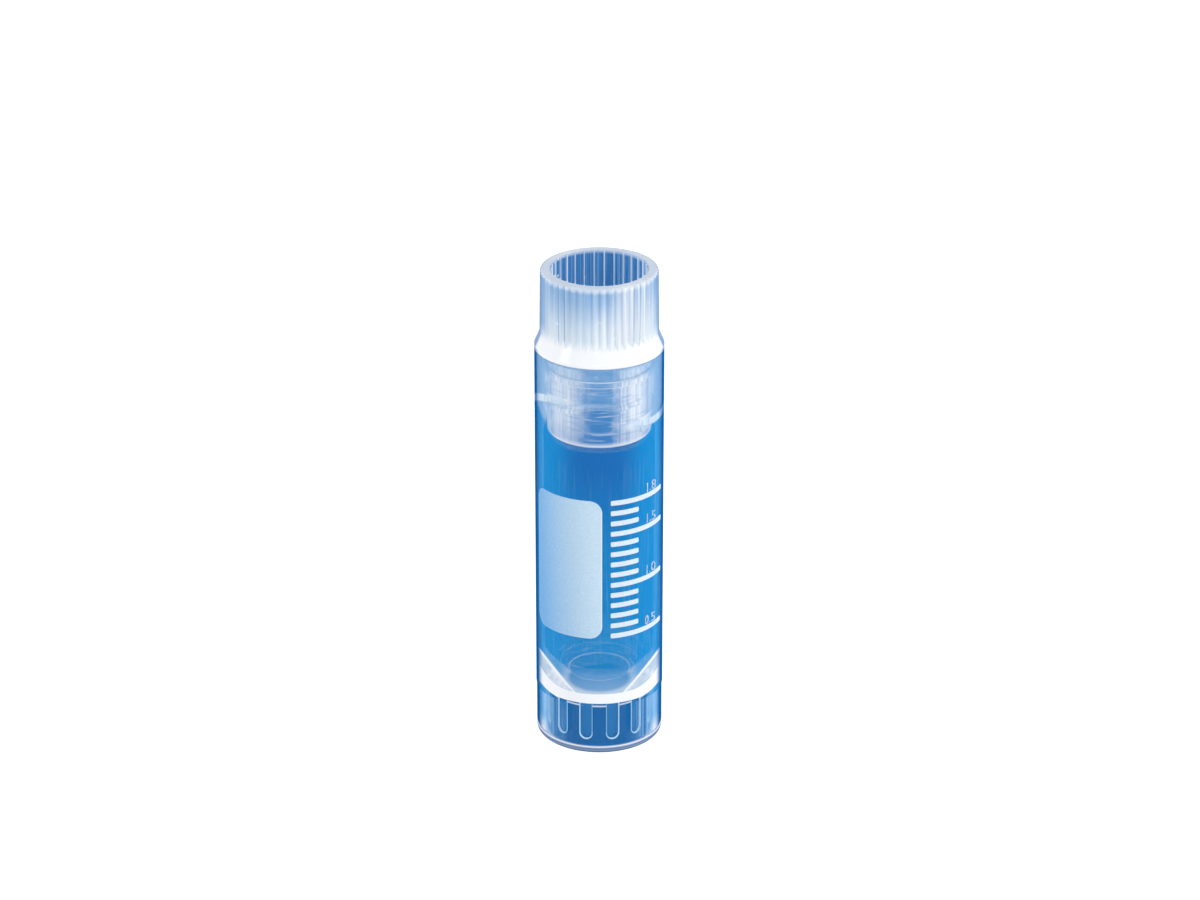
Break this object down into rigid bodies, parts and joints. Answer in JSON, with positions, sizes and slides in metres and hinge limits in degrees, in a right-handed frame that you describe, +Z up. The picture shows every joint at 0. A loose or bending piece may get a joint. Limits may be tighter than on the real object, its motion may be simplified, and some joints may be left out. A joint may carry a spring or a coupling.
{
  "type": "cryovial",
  "caption": "Clear self-standing cryovial with a fluted screw cap threaded inside the mouth, a writing patch and a printed volume scale.",
  "frame": {"origin": "centre of the ring that the vial stands on", "axes": "+Z up along the vial's axis; -Y to the front, where the right edge of the writing patch and the scale are"},
  "size_m": [0.0125, 0.0125, 0.049],
  "materials": {
    "tube_plastic": "clear blue-tinted polypropylene, smooth, with a milky band at the floor",
    "cap_plastic": "clear polypropylene that turns milky towards the flange",
    "silicone": "translucent silicone",
    "patch_ink": "frosted white ink to write on",
    "scale_ink": "opaque white ink"
  },
  "bodies": {
    "tube": {"tube": "tube_plastic", "writing_patch": "patch_ink", "graduation_marks": "scale_ink"},
    "seal": {"seal_ring": "silicone"},
    "cap": {"cap": "cap_plastic"}
  },
  "joints": [
    {"name": "cap_lift", "type": "slide", "parent": "tube", "child": "seal", "axis": [0, 0, 1], "range_m": [0, 0.009]},
    {"name": "cap_turn", "type": "hinge", "parent": "seal", "child": "cap", "pos_m": [0, 0, 0.0411], "axis": [0, 0, 1], "range_deg": [0, 1080.5]}
  ],
  "couplings": [
    {"joint": "cap_turn", "follows": "cap_lift", "rad_per_m": 2094.4}
  ]
}
